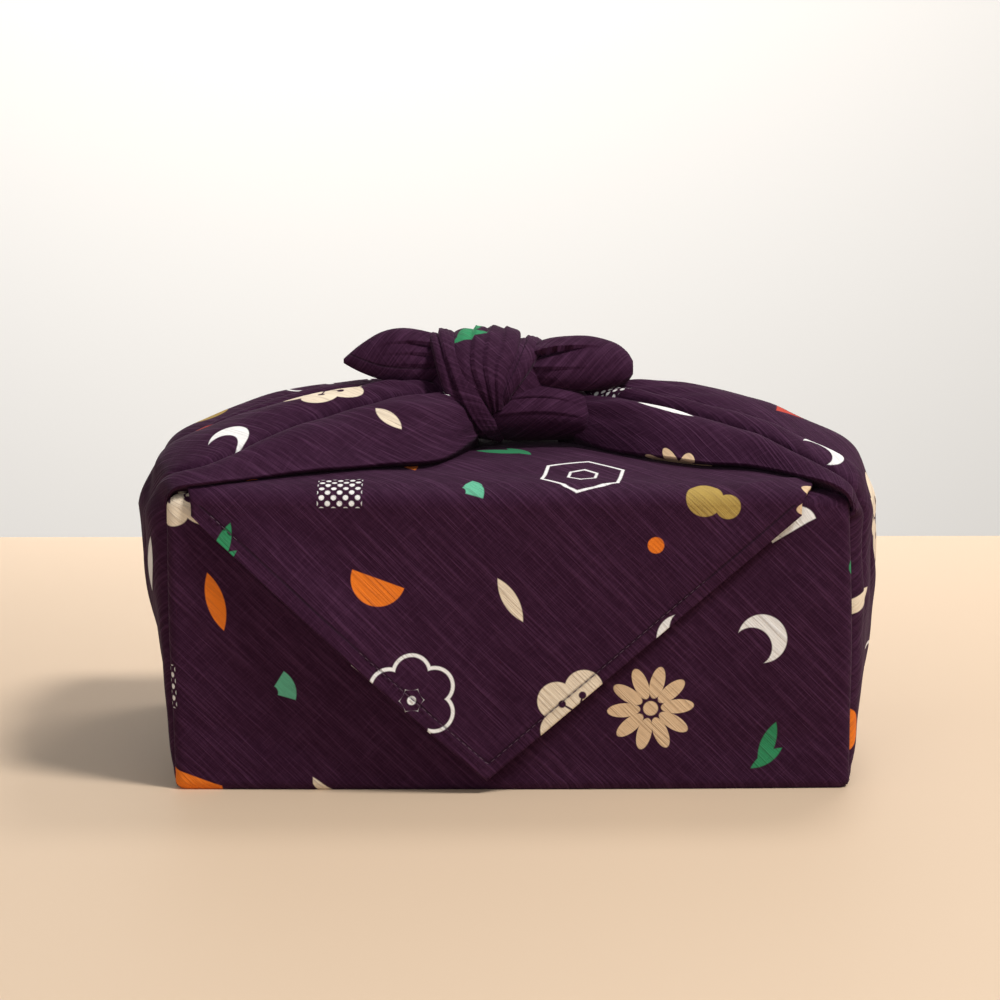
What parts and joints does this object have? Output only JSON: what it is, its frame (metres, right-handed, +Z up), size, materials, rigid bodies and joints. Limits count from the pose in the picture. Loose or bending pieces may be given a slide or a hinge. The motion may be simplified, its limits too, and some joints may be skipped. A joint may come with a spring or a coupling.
{
  "type": "furoshiki wrap",
  "caption": "Square cloth wrapped round a long box, with a pointed flap hanging down the front and its side corners tied in a knot on top.",
  "frame": {"origin": "on the floor, under the middle of the wrapped box", "axes": "+X to the right along the parcel's long side, +Y to its back, +Z up; the pointed flap hangs on the front, at -Y"},
  "size_m": [0.2825, 0.1629, 0.165],
  "materials": {
    "aubergine_cloth": "matte slub-weave cloth, dark aubergine with a scattered print"
  },
  "bodies": {
    "root": {"furoshiki_cloth": "aubergine_cloth"}
  },
  "joints": []
}
